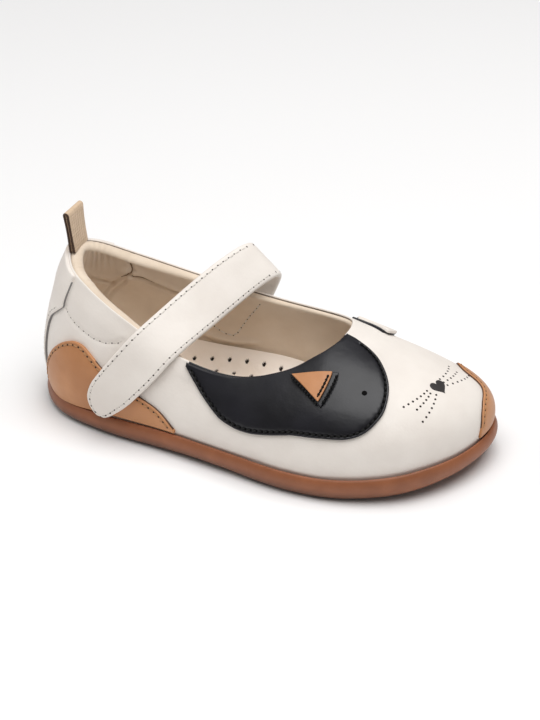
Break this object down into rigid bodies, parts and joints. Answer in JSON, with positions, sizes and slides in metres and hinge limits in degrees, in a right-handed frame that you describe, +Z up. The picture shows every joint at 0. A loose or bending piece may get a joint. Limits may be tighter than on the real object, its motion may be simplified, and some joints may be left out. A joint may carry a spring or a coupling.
{
  "type": "baby mary jane shoe",
  "caption": "Soft leather baby mary jane shoe with a hook-and-loop strap, cat-face patches, padded collar, pull tab and a flexible rubber cup sole.",
  "frame": {"origin": "on the floor under the middle of the shoe's length and width", "axes": "+X from heel to toe, +Y to the inner side of the foot, +Z up"},
  "size_m": [0.1392, 0.0562, 0.0609],
  "materials": {
    "sole_rubber": "satin moulded gum rubber",
    "footbed": "soft matt lining leather, punched",
    "white_leather": "soft off-white leather, light grain",
    "tan_leather": "smooth tan leather, stitched edge",
    "black_leather": "glossy black leather, stitched edge",
    "tab_tape": "woven tape with dark edges"
  },
  "bodies": {
    "root": {"outsole": "sole_rubber", "insole": "footbed", "upper": "white_leather", "heel_counter": "tan_leather", "backstay": "white_leather", "toe_tip": "tan_leather", "eye_patch": "black_leather", "ear_outer_backing": "black_leather", "ear_outer": "tan_leather", "ear_inner_backing": "black_leather", "ear_inner": "white_leather", "strap": "white_leather", "pull_tab": "tab_tape"}
  },
  "joints": []
}
